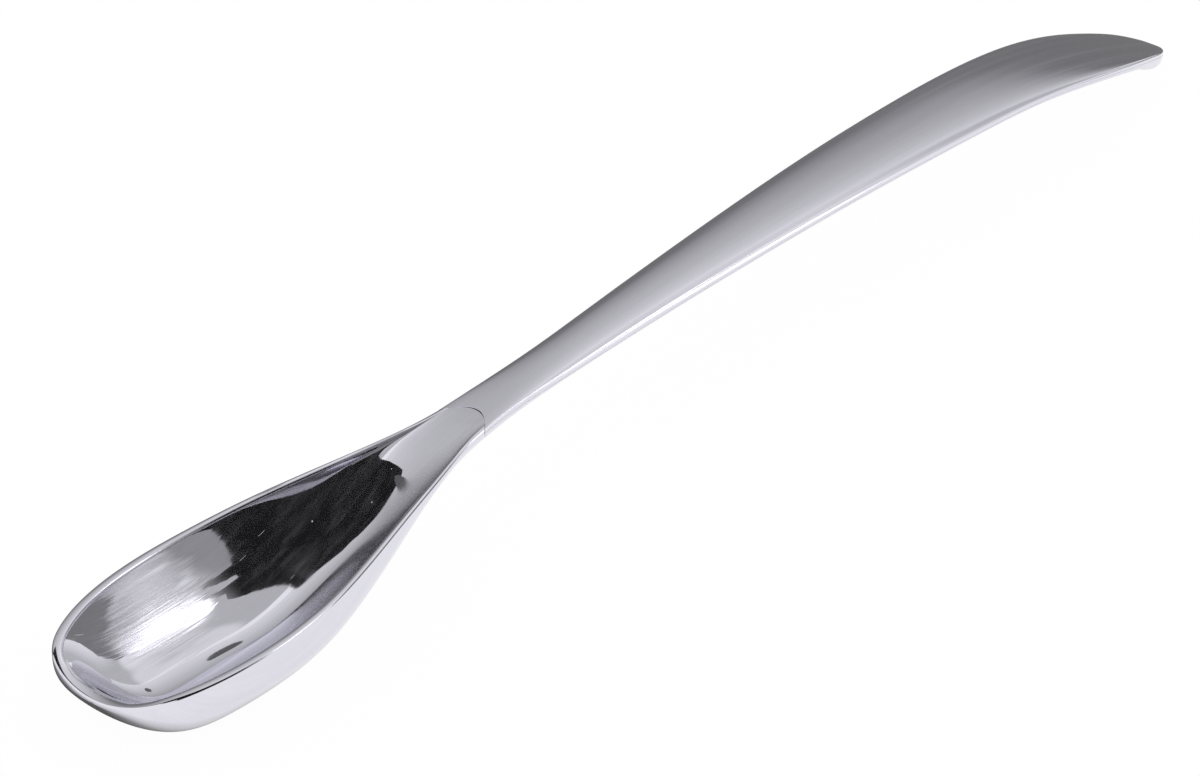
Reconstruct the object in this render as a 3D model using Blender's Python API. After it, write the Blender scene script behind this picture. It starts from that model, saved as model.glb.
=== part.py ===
"""Steel spoon: a deep bowl with a forged tang, two handle half shells and a filler core.

The spoon lies along X with the bowl's front at -X, Y runs across it, and it rests on z = 0.
"""

import math

import bmesh
import bpy
import numpy as np

MM = 0.001

# Driving sizes of the whole spoon
LENGTH = 198.5 * MM
BOWL_WIDTH = 23.4 * MM
NECK_WIDTH = 6.3 * MM
HANDLE_WIDTH = 13.5 * MM
RIM_HEIGHT = 9.8 * MM
HANDLE_RISE = 13.4 * MM

# Driving sizes of the bowl
RIM_LAND = 1.2 * MM
BOWL_WALL = 1.1 * MM
EDGE_BAND = 0.5 * MM
JOINT_ALONG = 59.8 * MM
JOINT_BULGE = 2.4 * MM
TROUGH_FADE = 41.5 * MM
TROUGH_FADE_POWER = 2.35
FRONT_SOFT = 0.30
FRONT_SOFT_RUN = 6.0 * MM

# Driving sizes of the handle and what is inside it
NECK_THICKNESS = 3.3 * MM
HANDLE_THICKNESS = 2.6 * MM
TIP_THICKNESS = 2.3 * MM
CROWN = 1.0 * MM
SHELL_WALL = 0.75 * MM
TIP_ROUND = 0.8 * MM
TIP_ROUND_POWER = 0.3
TIP_FLAT_START = 160.0 * MM
TIP_FLAT_RUN = 36.0 * MM
SHOULDER_RUN = 20.0 * MM
SHARP_POWER = 0.05
ROUND_POWER = 0.28
TANG_LENGTH = 22.0 * MM
CORE_END = 181.0 * MM

# Open space between pieces that are soldered or bedded against each other
GAP = 0.3 * MM

# How finely the shapes are divided
HALF_RING_STEPS = 18
BOWL_STEPS = 30
HANDLE_STEPS = 30
TANG_STEPS = 4
CORE_STEPS = 16
RAIL_NUDGE = 0.05 * MM
WELD = 0.005 * MM

HALF_BOWL = BOWL_WIDTH / 2
HALF_NECK = NECK_WIDTH / 2
HALF_HANDLE = HANDLE_WIDTH / 2
TANG_END = JOINT_ALONG + JOINT_BULGE + TANG_LENGTH

# One row per chosen place along the spoon:
# distance from the bowl's front, half width, height of the upper edge, height of the underside
RAIL = [
    (0.0, 0.0, 0.70 * RIM_HEIGHT, 0.70 * RIM_HEIGHT - EDGE_BAND),
    (0.012 * LENGTH, 0.685 * HALF_BOWL, 0.870 * RIM_HEIGHT, 0.34 * RIM_HEIGHT),
    (0.031 * LENGTH, 0.862 * HALF_BOWL, 0.935 * RIM_HEIGHT, 0.08 * RIM_HEIGHT),
    (0.060 * LENGTH, 0.972 * HALF_BOWL, 0.976 * RIM_HEIGHT, -0.008 * RIM_HEIGHT),
    (0.095 * LENGTH, HALF_BOWL, RIM_HEIGHT, -0.015 * RIM_HEIGHT),
    (0.135 * LENGTH, 0.935 * HALF_BOWL, 1.033 * RIM_HEIGHT, 0.008 * RIM_HEIGHT),
    (0.175 * LENGTH, 0.798 * HALF_BOWL, 1.092 * RIM_HEIGHT, 0.202 * RIM_HEIGHT),
    (0.215 * LENGTH, 0.622 * HALF_BOWL, 1.141 * RIM_HEIGHT, 0.475 * RIM_HEIGHT),
    (0.255 * LENGTH, 0.446 * HALF_BOWL, 1.180 * RIM_HEIGHT, 0.775 * RIM_HEIGHT),
    (0.289 * LENGTH, 1.17 * HALF_NECK, 0.898 * HANDLE_RISE, 0.898 * HANDLE_RISE - 1.04 * NECK_THICKNESS),
    (0.320 * LENGTH, HALF_NECK, 0.923 * HANDLE_RISE, 0.923 * HANDLE_RISE - 0.87 * NECK_THICKNESS),
    (0.370 * LENGTH, 1.01 * HALF_NECK, 0.938 * HANDLE_RISE, 0.938 * HANDLE_RISE - 0.90 * HANDLE_THICKNESS),
    (0.450 * LENGTH, 0.55 * HALF_HANDLE, 0.970 * HANDLE_RISE, 0.970 * HANDLE_RISE - 0.91 * HANDLE_THICKNESS),
    (0.550 * LENGTH, 0.678 * HALF_HANDLE, 0.996 * HANDLE_RISE, 0.996 * HANDLE_RISE - 0.94 * HANDLE_THICKNESS),
    (0.650 * LENGTH, 0.81 * HALF_HANDLE, 0.989 * HANDLE_RISE, 0.989 * HANDLE_RISE - HANDLE_THICKNESS),
    (0.750 * LENGTH, 0.922 * HALF_HANDLE, 0.931 * HANDLE_RISE, 0.931 * HANDLE_RISE - 0.98 * HANDLE_THICKNESS),
    (0.830 * LENGTH, 0.985 * HALF_HANDLE, 0.834 * HANDLE_RISE, 0.834 * HANDLE_RISE - 0.95 * HANDLE_THICKNESS),
    (0.890 * LENGTH, HALF_HANDLE, 0.677 * HANDLE_RISE, 0.677 * HANDLE_RISE - 1.05 * TIP_THICKNESS),
    (0.930 * LENGTH, 0.910 * HALF_HANDLE, 0.524 * HANDLE_RISE, 0.524 * HANDLE_RISE - 1.04 * TIP_THICKNESS),
    (0.965 * LENGTH, 0.718 * HALF_HANDLE, 0.357 * HANDLE_RISE, 0.357 * HANDLE_RISE - 1.28 * TIP_THICKNESS),
    (0.990 * LENGTH, 0.420 * HALF_HANDLE, 0.218 * HANDLE_RISE, 0.0),
    (LENGTH, 0.0, 0.150 * HANDLE_RISE, 0.150 * HANDLE_RISE - 2 * EDGE_BAND),
]

# How square the underside is at chosen places: low values are boxy, 0.5 is an ellipse, 1 a parabola
UNDER_POWER = [
    (0.0, 0.38),
    (0.10 * LENGTH, 0.36),
    (0.16 * LENGTH, 0.39),
    (0.22 * LENGTH, 0.52),
    (0.27 * LENGTH, 0.70),
    (0.315 * LENGTH, 0.62),
    (0.38 * LENGTH, 0.76),
    (0.45 * LENGTH, 0.76),
    (0.60 * LENGTH, 0.64),
    (0.85 * LENGTH, 0.54),
    (0.95 * LENGTH, 0.46),
    (LENGTH, 0.50),
]

# How square the bowl's inside is at chosen places: 0.5 is an ellipse, 1 a parabola
TROUGH_SQUARE = [
    (0.0, 1.0),
    (0.08 * LENGTH, 0.93),
    (0.17 * LENGTH, 0.88),
    (0.205 * LENGTH, 0.66),
    (0.24 * LENGTH, 0.50),
    (0.32 * LENGTH, 0.40),
]

# Height of the crown above the edge at chosen places along the handle
CROWN_RISE = [
    (JOINT_ALONG, 0.0),
    (0.36 * LENGTH, 0.45 * CROWN),
    (0.45 * LENGTH, 0.85 * CROWN),
    (0.60 * LENGTH, CROWN),
    (0.80 * LENGTH, 0.80 * CROWN),
    (0.88 * LENGTH, 0.52 * CROWN),
    (0.95 * LENGTH, 0.26 * CROWN),
    (LENGTH, 0.10 * CROWN),
]


def spline_through(knots, values, places):
    """Natural cubic spline through the values at the knots, worked out at the places."""
    knots = np.asarray(knots, float)
    values = np.asarray(values, float)
    count = len(knots)
    steps = np.diff(knots)
    slopes = np.diff(values) / steps
    matrix = np.eye(count)
    side = np.zeros(count)
    for i in range(1, count - 1):
        matrix[i, i - 1] = steps[i - 1]
        matrix[i, i] = 2 * (steps[i - 1] + steps[i])
        matrix[i, i + 1] = steps[i]
        side[i] = 6 * (slopes[i] - slopes[i - 1])
    bend = np.linalg.solve(matrix, side)
    places = np.asarray(places, float)
    i = np.clip(np.searchsorted(knots, places, side="right") - 1, 0, count - 2)
    h = steps[i]
    left = knots[i + 1] - places
    right = places - knots[i]
    return (
        bend[i] * left ** 3 / (6 * h)
        + bend[i + 1] * right ** 3 / (6 * h)
        + (values[i] / h - bend[i] * h / 6) * left
        + (values[i + 1] / h - bend[i + 1] * h / 6) * right
    )


def curve_through(rows, places):
    """Smooth value at each place from a short list of (place, value) rows."""
    rows = np.asarray(rows, float)
    return spline_through(rows[:, 0], rows[:, 1], np.clip(places, rows[0, 0], rows[-1, 0]))


def rail_table(samples=4000):
    """The edge rail as a dense table; both ends are closed by mirroring the rows across the spoon."""
    rows = np.asarray(RAIL, float)
    mirror = rows * np.array([1.0, -1.0, 1.0, 1.0])
    full = np.vstack([mirror[3:0:-1], rows, mirror[-2:-5:-1]])
    travel = np.concatenate([[0.0], np.cumsum(np.hypot(np.diff(full[:, 0]), np.diff(full[:, 1])))])
    first = travel[3]
    last = travel[3 + len(rows) - 1]
    dense = first + (last - first) * np.linspace(0.0, 1.0, samples)
    table = np.stack([spline_through(travel, full[:, k], dense) for k in range(4)], axis=1)
    table[0, 1] = 0.0
    table[-1, 1] = 0.0
    return dense - first, table


TRAVEL, TABLE = rail_table()


def at_along(along, column):
    """Half width (1), edge height (2) or underside height (3) at distances from the bowl's front."""
    return np.interp(along, TABLE[:, 0], TABLE[:, column])


def travel_at(along):
    """Distance travelled along the rail when the spoon's length has reached a value."""
    return float(np.interp(along, TABLE[:, 0], TRAVEL))


def along_at(travel):
    """Distance from the bowl's front at a distance travelled along the rail."""
    return float(np.interp(travel, TRAVEL, TABLE[:, 0]))


def half_at(travel):
    """Half width at a distance travelled along the rail."""
    return float(np.interp(travel, TRAVEL, TABLE[:, 1]))


def ease(value):
    """Smooth step from 0 to 1."""
    value = np.clip(value, 0.0, 1.0)
    return value * value * (3 - 2 * value)


ANGLES = np.linspace(-math.pi / 2, math.pi / 2, HALF_RING_STEPS + 1)
# Share of the half width, and how far a point has come from the side edge towards the middle line
SIDE = np.sin(ANGLES)
LIFT = np.cos(ANGLES) ** 2


def parting(along):
    """Height of the line where the two shells meet, one edge band below the upper edge."""
    return at_along(along, 2) - EDGE_BAND


def under_depth(along):
    """Depth of the underside's middle below the parting line."""
    return np.maximum(parting(along) - at_along(along, 3), 0.0)


def under_power(along):
    """How square the underside is."""
    return curve_through(UNDER_POWER, along)


def trough_power(along):
    """How square the bowl's inside is."""
    return curve_through(TROUGH_SQUARE, along)


def top_rise(along):
    """Height of the handle's top above the parting line, rounded off over the end of the tip."""
    fade = np.clip((LENGTH - along) / TIP_ROUND, 0.0, 1.0) ** TIP_ROUND_POWER
    return (EDGE_BAND + curve_through(CROWN_RISE, along)) * fade


def top_power(along):
    """How square the handle's top is: sharp edged at the joint and the tip, round shouldered between them."""
    shoulder = ease((along - JOINT_ALONG) / SHOULDER_RUN)
    flat = ease((along - TIP_FLAT_START) / TIP_FLAT_RUN)
    return SHARP_POWER + ROUND_POWER * shoulder * (1.0 - flat)


def bent_along(along, across):
    """Bends a straight ring so that rings near the neck joint follow its rounded line."""
    before = ease((along - 0.6 * JOINT_ALONG) / (0.4 * JOINT_ALONG))
    after = 1.0 - ease((along - JOINT_ALONG) / (2 * TANG_LENGTH))
    return along + JOINT_BULGE * before * after * (1.0 - across ** 2)


def points(along, across, height):
    """Rows of x, y, z from matching lists."""
    return np.stack(np.broadcast_arrays(along, across, height), axis=1)


def space_in_shells(along):
    """Half width of the space in the shells, its height above the parting line and its depth below it."""
    half = np.maximum(at_along(along, 1) - SHELL_WALL, 0.0)
    shut = 1.0 - ease((along - CORE_END - 2 * GAP) / (4 * SHELL_WALL))
    above = np.maximum(top_rise(along) - SHELL_WALL - GAP / 2, 0.0) * shut
    below = np.maximum(under_depth(along) - SHELL_WALL - GAP / 2, 0.0) * shut
    return half, above, below


def filling_ring(along, bent):
    """Ring of a solid that fills the space in the shells and stays one gap clear of them."""
    half, above, below = space_in_shells(along)
    across = (half - GAP) * SIDE
    place = bent_along(along, across / at_along(along, 1)) if bent else np.full_like(SIDE, along)
    middle = parting(place)
    edge = middle + np.minimum(above, GAP) / 2 - GAP / 2
    roof = middle + above - GAP / 2
    base = middle - below + GAP / 2
    lower = edge - (edge - base) * LIFT ** under_power(place)
    upper = edge + (roof - edge) * LIFT ** top_power(place)
    return points(place, across, lower), points(place, across, upper)


def bowl_rings():
    """Rings of the bowl from its front to the joint, then of the tang that enters the handle."""
    rings = []
    for step in range(BOWL_STEPS + 1):
        travel = travel_at(JOINT_ALONG) * step / BOWL_STEPS
        along = along_at(travel)
        half = half_at(travel)
        place = bent_along(along, SIDE)
        under = parting(place) - under_depth(place) * LIFT ** under_power(place)
        lower = points(place, at_along(place, 1) * SIDE, np.maximum(under, 0.0))
        corner = lower[[0, -1]] + np.array([0.0, 0.0, EDGE_BAND])
        lower = np.vstack([corner[:1], lower, corner[1:]])
        lean = np.array([along_at(travel + RAIL_NUDGE) - along, half_at(travel + RAIL_NUDGE) - half])
        lean = lean / np.linalg.norm(lean)
        land = RIM_LAND * (1.0 - 0.4 * ease(along / JOINT_ALONG))
        inner_along = along + land * lean[1]
        inner_half = max(half - land * lean[0], 0.0)
        if step == BOWL_STEPS:
            inner_along = along
        across = inner_half * SIDE
        place = bent_along(inner_along, across / max(half, RIM_LAND))
        matched = place - (inner_along - along)
        edge = at_along(matched, 2)
        run_out = np.clip((matched - TROUGH_FADE) / (JOINT_ALONG + JOINT_BULGE - TROUGH_FADE), 0.0, 1.0)
        thick = EDGE_BAND + (BOWL_WALL - EDGE_BAND) * ease(matched / RIM_LAND)
        room = np.maximum(edge - at_along(matched, 3) - thick, 0.0)
        depth = room * (1.0 - run_out ** 2) ** TROUGH_FADE_POWER
        depth = depth * (1.0 - FRONT_SOFT * np.exp(-matched / FRONT_SOFT_RUN))
        upper = points(place, across, edge - depth * LIFT ** trough_power(matched))
        upper = np.vstack([(upper[:1] + corner[:1]) / 2, upper, (upper[-1:] + corner[1:]) / 2])
        rings.append((lower, upper))
    tang = [filling_ring(JOINT_ALONG, True)]
    first = JOINT_ALONG + JOINT_BULGE + RIM_LAND
    for step in range(TANG_STEPS + 1):
        tang.append(filling_ring(first + (TANG_END - first) * step / TANG_STEPS, False))
    for lower, upper in tang:
        rings.append((np.vstack([lower[:1], lower, lower[-1:]]), np.vstack([upper[:1], upper, upper[-1:]])))
    return rings


def shell_rings(upper_shell):
    """Rings of one handle half shell from the joint to the tip."""
    start = travel_at(JOINT_ALONG + GAP)
    finish = TRAVEL[-1]
    rings = []
    for step in range(HANDLE_STEPS + 1):
        share = 1.0 - (1.0 - step / HANDLE_STEPS) ** 1.5
        along = along_at(start + (finish - start) * share)
        place = bent_along(along, SIDE)
        across = at_along(place, 1) * SIDE
        half, above, below = space_in_shells(along)
        inner = bent_along(along, SIDE * half / max(at_along(along, 1), GAP))
        inner_half, above, below = space_in_shells(inner)
        if upper_shell:
            outside = np.maximum(top_rise(place) - GAP / 2, 0.0) * LIFT ** top_power(place)
            outside = points(place, across, parting(place) + GAP / 2 + outside)
            roof = parting(inner) + GAP / 2 + above * LIFT ** top_power(inner)
            rings.append((points(inner, inner_half * SIDE, roof), outside))
        else:
            outside = np.maximum(under_depth(place) - GAP / 2, 0.0) * LIFT ** under_power(place)
            outside = points(place, across, np.maximum(parting(place) - GAP / 2 - outside, 0.0))
            base = parting(inner) - GAP / 2 - below * LIFT ** under_power(inner)
            rings.append((outside, points(inner, inner_half * SIDE, base)))
    return rings


def core_rings():
    """Rings of the filler between the tang's end and the shut end of the shells."""
    first = TANG_END + GAP
    places = [first + (CORE_END - first) * step / CORE_STEPS for step in range(CORE_STEPS + 1)]
    return [filling_ring(place, False) for place in places]


def make_piece(name, rings, material, closed_start, closed_end):
    """Skins rings into one solid; each ring is a lower half and an upper half, both left to right."""
    solid = bmesh.new()
    grid = []
    for ring in rings:
        grid.append([[solid.verts.new((p[0] - LENGTH / 2, p[1], p[2])) for p in half] for half in ring])
    last = len(grid[0][0]) - 1
    for near, far in zip(grid[:-1], grid[1:]):
        for half in (0, 1):
            for k in range(last):
                solid.faces.new((near[half][k], near[half][k + 1], far[half][k + 1], far[half][k]))
        for k in (0, last):
            solid.faces.new((near[0][k], far[0][k], far[1][k], near[1][k]))
    ends = ([grid[0]] if closed_start else []) + ([grid[-1]] if closed_end else [])
    for lower, upper in ends:
        for k in range(last):
            solid.faces.new((lower[k], lower[k + 1], upper[k + 1], upper[k]))
    bmesh.ops.remove_doubles(solid, verts=solid.verts, dist=WELD)
    bmesh.ops.dissolve_degenerate(solid, edges=solid.edges, dist=WELD)
    bmesh.ops.triangulate(solid, faces=solid.faces)
    bmesh.ops.recalc_face_normals(solid, faces=solid.faces)
    if solid.calc_volume(signed=True) < 0.0:
        bmesh.ops.reverse_faces(solid, faces=solid.faces)
    mesh = bpy.data.meshes.new(name)
    solid.to_mesh(mesh)
    solid.free()
    mesh.shade_smooth()
    mesh.set_sharp_from_angle(angle=math.radians(35))
    mesh.materials.append(material)
    piece = bpy.data.objects.new(name, mesh)
    bpy.context.scene.collection.objects.link(piece)
    return piece


def make_material(name, color, roughness, metallic):
    """One plain material for one piece."""
    material = bpy.data.materials.new(name)
    material.use_nodes = True
    shader = material.node_tree.nodes["Principled BSDF"]
    shader.inputs["Base Color"].default_value = color
    shader.inputs["Roughness"].default_value = roughness
    shader.inputs["Metallic"].default_value = metallic
    return material


for old in list(bpy.data.objects):
    bpy.data.objects.remove(old)

polished = make_material("bowl_polished_steel", (0.66, 0.65, 0.69, 1.0), 0.08, 1.0)
satin_top = make_material("handle_top_satin_steel", (0.60, 0.59, 0.63, 1.0), 0.25, 1.0)
satin_under = make_material("handle_under_satin_steel", (0.58, 0.57, 0.61, 1.0), 0.25, 1.0)
filler = make_material("handle_filler", (0.45, 0.40, 0.34, 1.0), 0.8, 0.0)

make_piece("bowl", bowl_rings(), polished, False, True)
make_piece("handle_upper_shell", shell_rings(True), satin_top, True, False)
make_piece("handle_lower_shell", shell_rings(False), satin_under, True, False)
make_piece("handle_core", core_rings(), filler, True, True)
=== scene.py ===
"""Looks of the steel spoon: fine surfaces with rounded rims, polished metal, a pale studio and the camera."""

import math
from collections import namedtuple

import bmesh
import bpy
import numpy as np
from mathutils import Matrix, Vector


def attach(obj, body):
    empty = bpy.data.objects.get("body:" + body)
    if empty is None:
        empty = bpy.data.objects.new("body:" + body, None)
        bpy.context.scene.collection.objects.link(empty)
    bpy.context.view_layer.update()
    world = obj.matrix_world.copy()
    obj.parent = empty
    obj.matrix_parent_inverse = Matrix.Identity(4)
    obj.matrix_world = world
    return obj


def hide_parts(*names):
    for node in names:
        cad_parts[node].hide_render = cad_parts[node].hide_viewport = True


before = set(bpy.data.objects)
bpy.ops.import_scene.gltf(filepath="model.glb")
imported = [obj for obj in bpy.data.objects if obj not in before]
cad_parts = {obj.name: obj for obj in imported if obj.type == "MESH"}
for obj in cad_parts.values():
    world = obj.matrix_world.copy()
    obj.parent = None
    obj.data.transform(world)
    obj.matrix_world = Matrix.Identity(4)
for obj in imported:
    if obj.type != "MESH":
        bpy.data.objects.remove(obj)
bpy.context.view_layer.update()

MM = 0.001

# Sizes of the whole spoon, as in the part
LENGTH = 198.5 * MM
BOWL_WIDTH = 23.4 * MM
NECK_WIDTH = 6.3 * MM
HANDLE_WIDTH = 13.5 * MM
RIM_HEIGHT = 9.8 * MM
HANDLE_RISE = 13.4 * MM

# Width of the bowl's rim, the share by which it narrows towards the neck, the wall, and the upright edge band
RIM_LAND = 1.2 * MM
LAND_NARROWING = 0.4
BOWL_WALL = 1.1 * MM
EDGE_BAND = 0.5 * MM
# Where the bowl meets the handle at the sides, and how much farther it reaches in the middle
JOINT_ALONG = 59.8 * MM
JOINT_BULGE = 2.4 * MM
# Where the trough starts to run out towards the neck, and how quickly it does
TROUGH_FADE = 41.5 * MM
TROUGH_FADE_POWER = 2.35
# How much shallower the trough is at the very front, and the length over which that wears off
FRONT_SOFT = 0.30
FRONT_SOFT_RUN = 6.0 * MM

# Thickness of the handle, and the height of its crowned top
NECK_THICKNESS = 3.3 * MM
HANDLE_THICKNESS = 2.6 * MM
TIP_THICKNESS = 2.3 * MM
CROWN = 1.0 * MM
# Rounding at the very end of the tip
TIP_ROUND = 0.8 * MM
TIP_ROUND_POWER = 0.3
# Over what lengths the top's shoulders turn round behind the joint and sharp again before the tip,
# how square the top is where it is sharp, and how much rounder it is between
SHOULDER_RUN = 20.0 * MM
TIP_FLAT_START = 160.0 * MM
TIP_FLAT_RUN = 36.0 * MM
SHARP_POWER = 0.05
ROUND_POWER = 0.28
# Sizes inside the handle
SHELL_WALL = 0.75 * MM
TANG_LENGTH = 22.0 * MM
CORE_END = 181.0 * MM
GAP = 0.3 * MM

# Fine forms that only show up close: open lines at the joints, the rim's rounded edges, the largest share
# of the trough's depth that its lip takes, and the crown of the rim's flat
NECK_SEAM = 0.09 * MM
SHELL_SEAM = 0.02 * MM
RIM_ROUND = 0.26 * MM
LIP_ROUND = 0.34 * MM
LIP_SHARE = 0.4
LAND_CROWN = 0.03 * MM

# Edges that turn by more than this are shaded as sharp
SHARP_ANGLE = math.radians(40.0)

# How finely the shapes are divided
HALF_RING_STEPS = 72
BOWL_STEPS = 180
HANDLE_STEPS = 220
HANDLE_CROWDING = 1.5
TANG_STEPS = 8
ROUND_STEPS = 5
LAND_STEPS = 4
RAIL_SAMPLES = 8000
RAIL_NUDGE = 0.05 * MM
WELD = 0.002 * MM

HALF_BOWL = BOWL_WIDTH / 2
HALF_NECK = NECK_WIDTH / 2
HALF_HANDLE = HANDLE_WIDTH / 2
TANG_END = JOINT_ALONG + JOINT_BULGE + TANG_LENGTH

# Where the rings start to bend towards the joint's rounded line, and how far they take to bend and unbend
BEND_START = 0.6 * JOINT_ALONG
BEND_RUN = 0.4 * JOINT_ALONG
UNBEND_RUN = 2 * TANG_LENGTH

# Where the space in the handle starts to close behind the filler, and the length over which it does
SHUT_START = CORE_END + 2 * GAP
SHUT_RUN = 4 * SHELL_WALL

# One row per chosen place along the spoon:
# distance from the bowl's front, half width, height of the upper edge, height of the underside
RAIL = [
    (0.0, 0.0, 0.70 * RIM_HEIGHT, 0.70 * RIM_HEIGHT - EDGE_BAND),
    (0.012 * LENGTH, 0.685 * HALF_BOWL, 0.870 * RIM_HEIGHT, 0.34 * RIM_HEIGHT),
    (0.031 * LENGTH, 0.862 * HALF_BOWL, 0.935 * RIM_HEIGHT, 0.08 * RIM_HEIGHT),
    (0.060 * LENGTH, 0.972 * HALF_BOWL, 0.976 * RIM_HEIGHT, -0.008 * RIM_HEIGHT),
    (0.095 * LENGTH, HALF_BOWL, RIM_HEIGHT, -0.015 * RIM_HEIGHT),
    (0.135 * LENGTH, 0.935 * HALF_BOWL, 1.033 * RIM_HEIGHT, 0.008 * RIM_HEIGHT),
    (0.175 * LENGTH, 0.798 * HALF_BOWL, 1.092 * RIM_HEIGHT, 0.202 * RIM_HEIGHT),
    (0.215 * LENGTH, 0.622 * HALF_BOWL, 1.141 * RIM_HEIGHT, 0.475 * RIM_HEIGHT),
    (0.255 * LENGTH, 0.446 * HALF_BOWL, 1.180 * RIM_HEIGHT, 0.775 * RIM_HEIGHT),
    (0.289 * LENGTH, 1.17 * HALF_NECK, 0.898 * HANDLE_RISE, 0.898 * HANDLE_RISE - 1.04 * NECK_THICKNESS),
    (0.320 * LENGTH, HALF_NECK, 0.923 * HANDLE_RISE, 0.923 * HANDLE_RISE - 0.87 * NECK_THICKNESS),
    (0.370 * LENGTH, 1.01 * HALF_NECK, 0.938 * HANDLE_RISE, 0.938 * HANDLE_RISE - 0.90 * HANDLE_THICKNESS),
    (0.450 * LENGTH, 0.55 * HALF_HANDLE, 0.970 * HANDLE_RISE, 0.970 * HANDLE_RISE - 0.91 * HANDLE_THICKNESS),
    (0.550 * LENGTH, 0.678 * HALF_HANDLE, 0.996 * HANDLE_RISE, 0.996 * HANDLE_RISE - 0.94 * HANDLE_THICKNESS),
    (0.650 * LENGTH, 0.81 * HALF_HANDLE, 0.989 * HANDLE_RISE, 0.989 * HANDLE_RISE - HANDLE_THICKNESS),
    (0.750 * LENGTH, 0.922 * HALF_HANDLE, 0.931 * HANDLE_RISE, 0.931 * HANDLE_RISE - 0.98 * HANDLE_THICKNESS),
    (0.830 * LENGTH, 0.985 * HALF_HANDLE, 0.834 * HANDLE_RISE, 0.834 * HANDLE_RISE - 0.95 * HANDLE_THICKNESS),
    (0.890 * LENGTH, HALF_HANDLE, 0.677 * HANDLE_RISE, 0.677 * HANDLE_RISE - 1.05 * TIP_THICKNESS),
    (0.930 * LENGTH, 0.910 * HALF_HANDLE, 0.524 * HANDLE_RISE, 0.524 * HANDLE_RISE - 1.04 * TIP_THICKNESS),
    (0.965 * LENGTH, 0.718 * HALF_HANDLE, 0.357 * HANDLE_RISE, 0.357 * HANDLE_RISE - 1.28 * TIP_THICKNESS),
    (0.990 * LENGTH, 0.420 * HALF_HANDLE, 0.218 * HANDLE_RISE, 0.0),
    (LENGTH, 0.0, 0.150 * HANDLE_RISE, 0.150 * HANDLE_RISE - 2 * EDGE_BAND),
]

# Columns of the rail, and how many of its rows are mirrored at each end
ALONG = 0
HALF_WIDTH = 1
EDGE_HEIGHT = 2
UNDER_HEIGHT = 3
MIRROR_ROWS = 3

# How square the underside is at chosen places: low values are boxy, 0.5 is an ellipse, 1 a parabola
UNDER_POWER = [
    (0.0, 0.38),
    (0.10 * LENGTH, 0.36),
    (0.16 * LENGTH, 0.39),
    (0.22 * LENGTH, 0.52),
    (0.27 * LENGTH, 0.70),
    (0.315 * LENGTH, 0.62),
    (0.38 * LENGTH, 0.76),
    (0.45 * LENGTH, 0.76),
    (0.60 * LENGTH, 0.64),
    (0.85 * LENGTH, 0.54),
    (0.95 * LENGTH, 0.46),
    (LENGTH, 0.50),
]

# How square the bowl's inside is at chosen places: 0.5 is an ellipse, 1 a parabola
TROUGH_SQUARE = [
    (0.0, 1.0),
    (0.08 * LENGTH, 0.93),
    (0.17 * LENGTH, 0.88),
    (0.205 * LENGTH, 0.66),
    (0.24 * LENGTH, 0.50),
    (0.32 * LENGTH, 0.40),
]

# Height of the crown above the edge at chosen places along the handle
CROWN_RISE = [
    (JOINT_ALONG, 0.0),
    (0.36 * LENGTH, 0.45 * CROWN),
    (0.45 * LENGTH, 0.85 * CROWN),
    (0.60 * LENGTH, CROWN),
    (0.80 * LENGTH, 0.80 * CROWN),
    (0.88 * LENGTH, 0.52 * CROWN),
    (0.95 * LENGTH, 0.26 * CROWN),
    (LENGTH, 0.10 * CROWN),
]


def spline_through(knots, values, places):
    """Natural cubic spline through the values at the knots, worked out at the places."""
    knots = np.asarray(knots, float)
    values = np.asarray(values, float)
    count = len(knots)
    steps = np.diff(knots)
    slopes = np.diff(values) / steps
    matrix = np.eye(count)
    side = np.zeros(count)
    for i in range(1, count - 1):
        matrix[i, i - 1] = steps[i - 1]
        matrix[i, i] = 2 * (steps[i - 1] + steps[i])
        matrix[i, i + 1] = steps[i]
        side[i] = 6 * (slopes[i] - slopes[i - 1])
    bend = np.linalg.solve(matrix, side)
    places = np.asarray(places, float)
    i = np.clip(np.searchsorted(knots, places, side="right") - 1, 0, count - 2)
    step = steps[i]
    left = knots[i + 1] - places
    right = places - knots[i]
    return (
        bend[i] * left ** 3 / (6 * step)
        + bend[i + 1] * right ** 3 / (6 * step)
        + (values[i] / step - bend[i] * step / 6) * left
        + (values[i + 1] / step - bend[i + 1] * step / 6) * right
    )


def curve_through(rows, places):
    """Smooth value at each place from a short list of (place, value) rows."""
    rows = np.asarray(rows, float)
    return spline_through(rows[:, 0], rows[:, 1], np.clip(places, rows[0, 0], rows[-1, 0]))


def rail_table():
    """The edge rail as a dense table; both ends are closed by mirroring the rows across the spoon."""
    rows = np.asarray(RAIL, float)
    mirror = rows.copy()
    mirror[:, HALF_WIDTH] *= -1.0
    full = np.vstack([mirror[MIRROR_ROWS:0:-1], rows, mirror[-2:-2 - MIRROR_ROWS:-1]])
    strides = np.hypot(np.diff(full[:, ALONG]), np.diff(full[:, HALF_WIDTH]))
    travel = np.concatenate([[0.0], np.cumsum(strides)])
    first = travel[MIRROR_ROWS]
    last = travel[MIRROR_ROWS + len(rows) - 1]
    dense = first + (last - first) * np.linspace(0.0, 1.0, RAIL_SAMPLES)
    table = np.stack([spline_through(travel, column, dense) for column in full.T], axis=1)
    table[0, HALF_WIDTH] = 0.0
    table[-1, HALF_WIDTH] = 0.0
    return dense - first, table


TRAVEL, TABLE = rail_table()


def at_along(along, column):
    """Half width, edge height or underside height at distances from the bowl's front."""
    return np.interp(along, TABLE[:, ALONG], TABLE[:, column])


def travel_at(along):
    """Distance travelled along the rail when the spoon's length has reached a value."""
    return float(np.interp(along, TABLE[:, ALONG], TRAVEL))


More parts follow.
